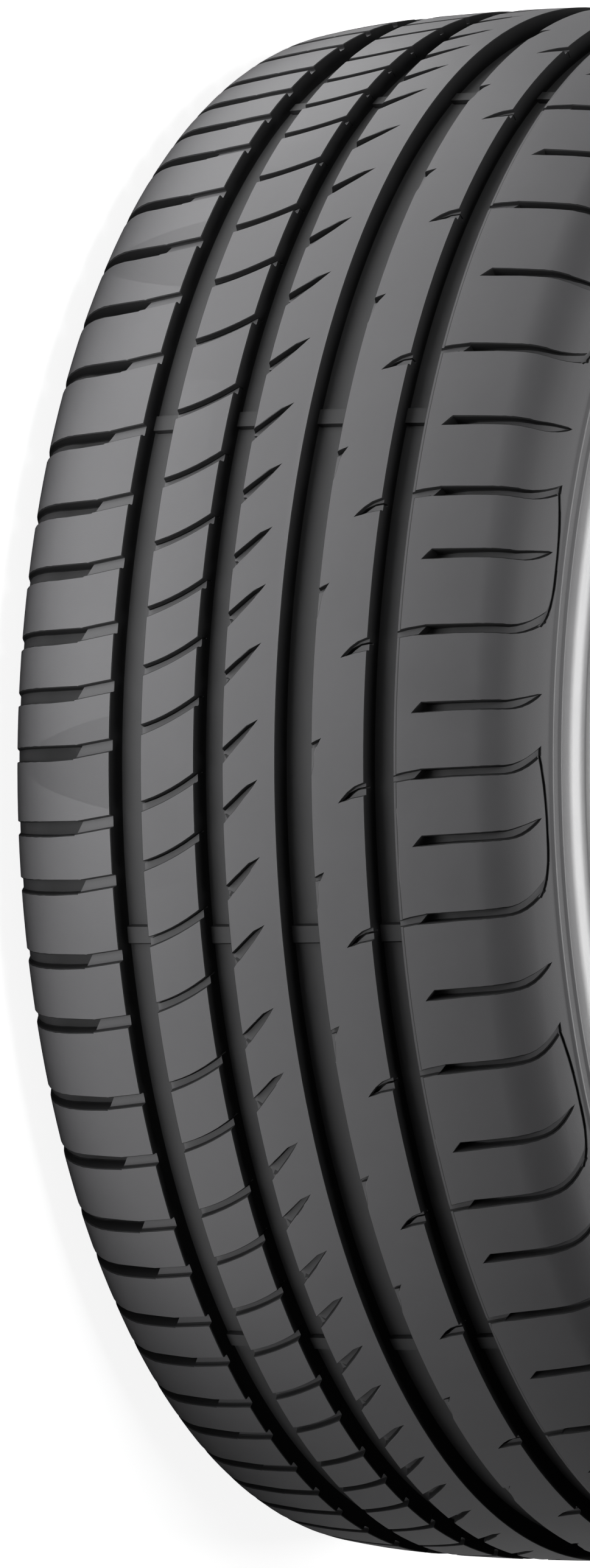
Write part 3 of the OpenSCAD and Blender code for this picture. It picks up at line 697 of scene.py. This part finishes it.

# %% [markdown]
# ## Rubber
# Tyre rubber is dark grey with a soft, satin shine. Close up it has a fine grain from the mould
# and a faint mottle where the release agent dried. The floors and walls of the slots are painted
# darker as painted shade, because they stay out of the light. The finish is written as plain
# expressions on sockets: a small class turns each operator into a Math node.

# %% Expressions on sockets
class Value:
    """Wraps a socket, so that sums and products of sockets can be written as Python."""
    def __init__(self, tree, socket):
        self.tree, self.socket = tree, socket

    def math(self, operation, a, b):
        made = self.tree.nodes.new("ShaderNodeMath")
        made.operation = operation
        for key, value in enumerate((a, b)):
            if isinstance(value, Value):
                self.tree.links.new(value.socket, made.inputs[key])
            else:
                made.inputs[key].default_value = value
        return Value(self.tree, made.outputs[0])

    def __add__(self, other): return self.math("ADD", self, other)
    def __radd__(self, other): return self.math("ADD", other, self)
    def __sub__(self, other): return self.math("SUBTRACT", self, other)
    def __rmul__(self, other): return self.math("MULTIPLY", other, self)

class Finish:
    """A material whose nodes are added one by one."""
    def __init__(self, name):
        self.material = bpy.data.materials.new(name)
        self.material.use_nodes = True
        self.tree = self.material.node_tree
        self.tree.nodes.clear()

    def add(self, kind, values=(), out=0, **settings):
        """A node of a type. Its settings are set first, then its sockets' values or links."""
        made = self.tree.nodes.new(kind)
        for key, value in settings.items():
            setattr(made, key, value)
        for key, value in dict(values).items():
            if isinstance(value, Value):
                self.tree.links.new(value.socket, made.inputs[key])
            else:
                made.inputs[key].default_value = value
        return Value(self.tree, made.outputs[out]) if made.outputs else None

    def blend(self, factor, a, b):
        """A colour between a and b."""
        made = self.tree.nodes.new("ShaderNodeMix")
        made.data_type = "RGBA"
        for key, value in (("Factor_Float", factor), ("A_Color", a), ("B_Color", b)):
            socket = next(s for s in made.inputs if s.identifier == key)
            if isinstance(value, Value):
                self.tree.links.new(value.socket, socket)
            else:
                socket.default_value = value
        return Value(self.tree, next(s for s in made.outputs if s.identifier == "Result_Color"))

print("sockets can now be added, subtracted and multiplied")

# %% The rubber
SKIN_DARK, SKIN_LIGHT = (0.118, 0.117, 0.1215, 1), (0.14, 0.139, 0.1445, 1)
# painted shade: the cuts are coloured darker with depth towards the first colour, and their steep
# walls take the second, darker one
CUT_SHADE_COLOUR, WALL_SHADE_COLOUR = (0.062, 0.062, 0.064, 1), (0.02, 0.02, 0.021, 1)
MOTTLE_SCALE, GRAIN_SCALE, GRAIN_DEPTH = 38, 2400, 0.0002

def rubber():
    """Satin black rubber with a mould grain. It reads three attributes of the mesh.

    The first grows from 0 on the skin to 1 at the floor of a groove and darkens the cuts as
    painted shade, the second is 1 on the steep sides of the cuts and paints them darker still as
    painted shade, and the third is 1 on the smooth band of the sidewall."""
    finish = Finish("tyre_rubber")
    place = finish.add("ShaderNodeTexCoord", out=3)
    mottle = finish.add("ShaderNodeTexNoise", {"Vector": place, "Scale": MOTTLE_SCALE,
                                               "Detail": 4, "Roughness": 0.55})
    grain = finish.add("ShaderNodeTexNoise", {"Vector": place, "Scale": GRAIN_SCALE,
                                              "Detail": 2, "Roughness": 0.6})
    sunk, wall, polish = [finish.add("ShaderNodeAttribute", attribute_name=name, out=2)
                          for name in ("sunk", "wall", "polish")]
    tone = finish.blend(mottle, SKIN_DARK, SKIN_LIGHT)
    # painted shade: the base colour darkens with the depth under the skin
    tone = finish.blend(sunk, tone, CUT_SHADE_COLOUR)
    # painted shade: steep walls of the cuts and the sawtooth pockets are darker still
    tone = finish.blend(wall, tone, WALL_SHADE_COLOUR)
    rough = 0.47 + 0.1 * mottle + 0.06 * grain + 0.12 * sunk + 0.2 * wall - 0.12 * polish
    height = 0.7 * grain + 0.3 * mottle
    bump = finish.add("ShaderNodeBump", {"Height": height, "Strength": 0.25,
                                         "Distance": GRAIN_DEPTH})
    shader = finish.add("ShaderNodeBsdfPrincipled", {
        "Base Color": tone, "Roughness": rough, "Normal": bump, "Specular IOR Level": 0.42,
        "IOR": 1.5, "Coat Weight": 0.7 * polish, "Coat Roughness": 0.25})
    finish.add("ShaderNodeOutputMaterial", {"Surface": shader})
    return finish.material

rubber_finish = rubber()
print("nodes of the rubber", len(rubber_finish.node_tree.nodes))

# %% [markdown]
# ## From the tree to a mesh
# The tree sits on an empty holder for a moment. Its inputs are set by their identifiers, its
# result becomes a mesh of its own, and then the holder and the blades go.

# %% Make the tyre
# sides shorter than this many metres are merged away
SLIVER = 1e-6
holder = mesh_of("tyre_tree", [], [])
modifier = holder.modifiers.new("Tyre", "NODES")
modifier.node_group = tree
modifier[sockets["Section"]] = sweep
modifier[sockets["Tread radius"]] = TREAD_R / 1000
modifier[sockets["Steps round"]] = STEPS_ROUND
modifier[sockets["Rubber"]] = rubber_finish
helpers = [sweep, holder]
for name, shape, angles in rows:
    points = place_points(name.replace(" ", "_") + "_places", angles)
    modifier[sockets[name]] = shape
    modifier[sockets[name + " places"]] = points
    helpers += [points] + ([shape] if shape not in helpers else [])
bpy.context.view_layer.update()
solved = holder.evaluated_get(bpy.context.evaluated_depsgraph_get())
made = bpy.data.meshes.new_from_object(solved)
work = bmesh.new()
work.from_mesh(made)
bmesh.ops.triangulate(work, faces=work.faces)
bmesh.ops.dissolve_degenerate(work, edges=work.edges, dist=SLIVER)
bmesh.ops.triangulate(work, faces=work.faces)
open_edges = sum(1 for e in work.edges if len(e.link_faces) != 2)
volume = work.calc_volume(signed=True)
work.to_mesh(made)
work.free()
for shape in helpers:
    bpy.data.objects.remove(shape)
tyre = bpy.data.objects.new("tyre_rubber", made)
bpy.context.collection.objects.link(tyre)
print(len(made.polygons), "triangles,", open_edges, "open edges,", round(volume * 1e6), "cm3")

# %% [markdown]
# ## Smooth shading
# The cuts leave long thin triangles on the skin. Their own normals would show as faint flat
# facets, so every corner that lies on the turned surface gets the true normal of the section.

# %% Read the mesh
SHARP_ANGLE = math.radians(32)
SKIN_SAMPLES, POINTS_AT_ONCE = 4000, 4000
made.shade_smooth()
made.set_sharp_from_angle(angle=SHARP_ANGLE)

def read(items, name, width, kind=np.float64):
    """A property of all items of the mesh as an array, with one row for each item."""
    values = np.empty(len(items) * width, dtype=kind)
    items.foreach_get(name, values)
    return values.reshape(-1, width)

co = read(made.vertices, "co", 3) * 1000
radius, height = np.hypot(co[:, 0], co[:, 1]), co[:, 2]
corners = read(made.loops, "vertex_index", 1, np.int32)[:, 0]
face_normals = np.repeat(read(made.polygons, "normal", 3), 3, axis=0)
print("vertices", len(co), "and corners", len(corners))

# %% The skin nearest to each point
samples = np.array([half_skin(s) for s in np.linspace(0, s_widest, SKIN_SAMPLES)])

def nearest_skin(z, r):
    """Slope of the skin nearest to each point, and the depth under it."""
    slope, depth = np.empty(len(z)), np.empty(len(z))
    for start in range(0, len(z), POINTS_AT_ONCE):
        part = slice(start, start + POINTS_AT_ONCE)
        beside = np.abs(z[part])[:, None] - samples[None, :, 0]
        under = r[part][:, None] - samples[None, :, 1]
        best = (beside ** 2 + under ** 2).argmin(axis=1)
        slope[part] = samples[best, 2]
        depth[part] = ((samples[best, 0] - np.abs(z[part])) * np.sin(samples[best, 2])
                       + (samples[best, 1] - r[part]) * np.cos(samples[best, 2]))
    return slope, depth

slope, depth = nearest_skin(height, radius)
print("the nearest skin was found for", len(depth), "points")

# %% True normals
# a corner lies on the skin if it is this near to it and its face looks nearly the same way
ON_SKIN, SAME_WAY = 0.06, 0.985
angle = np.arctan2(co[corners, 1], co[corners, 0])
skin_normals = np.stack([
    np.cos(angle) * np.cos(slope[corners]), np.sin(angle) * np.cos(slope[corners]),
    np.sign(height[corners]) * np.sin(slope[corners])], axis=1)
agreement = (skin_normals * face_normals).sum(axis=1)
on_skin = (np.abs(depth[corners]) < ON_SKIN) & (agreement > SAME_WAY)
whole = np.repeat(on_skin.reshape(-1, 3).all(axis=1), 3)
normals = read(made.corner_normals, "vector", 3)
normals[whole] = skin_normals[whole]
made.normals_split_custom_set(normals.tolist())
print("corners with the true normal", int(whole.sum()), "of", len(whole))

# %% [markdown]
# ## What the rubber reads
# Three attributes tell the rubber where it is. One grows with the depth under the skin and sets
# the painted shade of the cuts, one marks the steep walls of the cuts and, a little weaker, the
# small pockets of the sawtooth slots for a darker painted shade, and one marks the smooth band of
# the sidewall.

# %% The attributes
# depths are in mm, and whatever is deeper than INSIDE belongs to the beads and the liner,
# which take a fixed share of the painted depth shade
SINK_FROM, SINK_OVER, INSIDE, INSIDE_SHADE_SHARE = 0.35, 6, 14, 0.35
WALL_FROM, WALL_TILT = 0.25, 0.85
POCKET_FROM, POCKET_TO, POCKET_DEPTH, POCKET_SHADE_SHARE = 0.2, 4.3, 3, 0.75
# the slope of the skin, in degrees, where the smooth band starts, and over how many it grows
POLISH_FROM, POLISH_OVER = 83.7, 3
# painted shade: the share of the darker cut colour, from the depth under the skin
sunk = np.clip((depth - SINK_FROM) / SINK_OVER, 0, 1)
sunk[depth > INSIDE] = INSIDE_SHADE_SHARE
of_faces = depth[corners].reshape(-1, 3)
deepest, shallowest = of_faces.max(axis=1), of_faces.min(axis=1)
tilt = agreement.reshape(-1, 3).max(axis=1)
# painted shade: faces on the steep walls of the cuts are darkened
wall = ((deepest > WALL_FROM) & (deepest < INSIDE) & (tilt < WALL_TILT)).astype(float)
across = height[corners].reshape(-1, 3).mean(axis=1) - tooth_from
# painted shade: the small pockets of the sawtooth slots get a lighter share of it
wall[(across > POCKET_FROM) & (across < POCKET_TO)
     & (shallowest > POCKET_DEPTH) & (deepest < INSIDE)] = POCKET_SHADE_SHARE
polish = np.clip((slope - math.radians(POLISH_FROM)) / math.radians(POLISH_OVER), 0, 1)
for name, where, values in (("sunk", "POINT", sunk), ("polish", "POINT", polish),
                            ("wall", "FACE", wall)):
    made.attributes.new(name, "FLOAT", where).data.foreach_set("value", values)
print("faces on steep walls", int(wall.sum()))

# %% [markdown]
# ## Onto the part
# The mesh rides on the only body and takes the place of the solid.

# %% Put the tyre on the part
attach(tyre, "root")
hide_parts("tyre")
print("the mesh takes the place of the solid")

# %% [markdown]
# ## Floor and light
# The photograph has a white ground and a light that comes in low over the inner shoulder, so the
# grooves are black on that side. The tyre lies on that shoulder here, so three soft panels on
# the floor give the same slant. A lamp above lights the far half of the tread, and two behind
# the tyre give the sidewall its sheen. The floor shows white to the camera but keeps a shadow.

# %% The floor
FLOOR = cad_box[0][2]
# the floor lies a hair lower than the tyre, so that no faces share a plane
FLOOR_SIZE, FLOOR_GAP = 16, 0.0005

def floor_finish():
    """A pale floor. To the camera it glows a little, so it is white but still holds a shadow."""
    finish = Finish("floor_paint")
    paint = finish.add("ShaderNodeBsdfDiffuse", {"Color": (0.75, 0.75, 0.75, 1)})
    glow = finish.add("ShaderNodeEmission", {"Color": (1, 1, 1, 1), "Strength": 0.9})
    both = finish.add("ShaderNodeAddShader", {0: paint, 1: glow})
    seen = finish.add("ShaderNodeLightPath")
    surface = finish.add("ShaderNodeMixShader", {0: seen, 1: paint, 2: both})
    finish.add("ShaderNodeOutputMaterial", {"Surface": surface})
    return finish.material

bpy.ops.mesh.primitive_plane_add(size=FLOOR_SIZE, location=(0, 0, FLOOR - FLOOR_GAP))
floor = bpy.context.object
floor.name = "floor"
floor.data.materials.append(floor_finish())
print("the floor is at", round(floor.location.z, 4))

# %% The lamps
def lamp(name, place, aim, wide, high, power):
    """A soft rectangular lamp that the camera doesn't see."""
    light = bpy.data.lights.new(name, "AREA")
    light.shape, light.size, light.size_y, light.energy = "RECTANGLE", wide, high, power
    shape = bpy.data.objects.new(name, light)
    bpy.context.collection.objects.link(shape)
    shape.location = place
    shape.rotation_euler = (Vector(aim) - Vector(place)).to_track_quat("-Z", "Y").to_euler()
    shape.visible_camera = False
    return shape

PANEL_W, PANEL_H, PANEL_OUT, PANEL_LIFT = 0.5, 0.3, 0.49, 0.004
def floor_lamp(turn, power):
    """A panel that lies on the floor beside the tread, at an angle round it, and shines up."""
    made = lamp("floor_panel", (0, 0, 0), (0, 0, 1), PANEL_W, PANEL_H, power)
    out = Vector((math.sin(turn), -math.cos(turn), 0))
    along = Vector((math.cos(turn), math.sin(turn), 0))
    facing = Vector((0, 0, -1))
    place = PANEL_OUT * out + Vector((0, 0, FLOOR + PANEL_LIFT))
    made.matrix_world = (Matrix.Translation(place)
                         @ Matrix((along, facing.cross(along), facing)).transposed().to_4x4())

for turn, power in ((-62, 1.12), (-22, 1.2), (18, 0.66)):
    floor_lamp(math.radians(turn), power)
lamp("side", (-2.4, -1.0, 0.12), (0, 0, 0), 1.0, 0.4, 4)
lamp("top", (-0.55, -0.5, 2.15), (-0.2, -0.25, 0), 1.3, 0.9, 22)
lamp("behind", (0, 1.75, 1.75), (0, -0.3, 0.1), 1.2, 0.9, 24)
lamp("low behind", (0, 2.2, 1.1), (0, -0.3, 0.1), 1.2, 0.6, 11)
world = bpy.data.worlds.new("studio")
bpy.context.scene.world = world
world.use_nodes = True
background = world.node_tree.nodes["Background"].inputs
background["Color"].default_value = (1, 1, 1, 1)
background["Strength"].default_value = 0.01
print("lamps", len(bpy.data.lights))
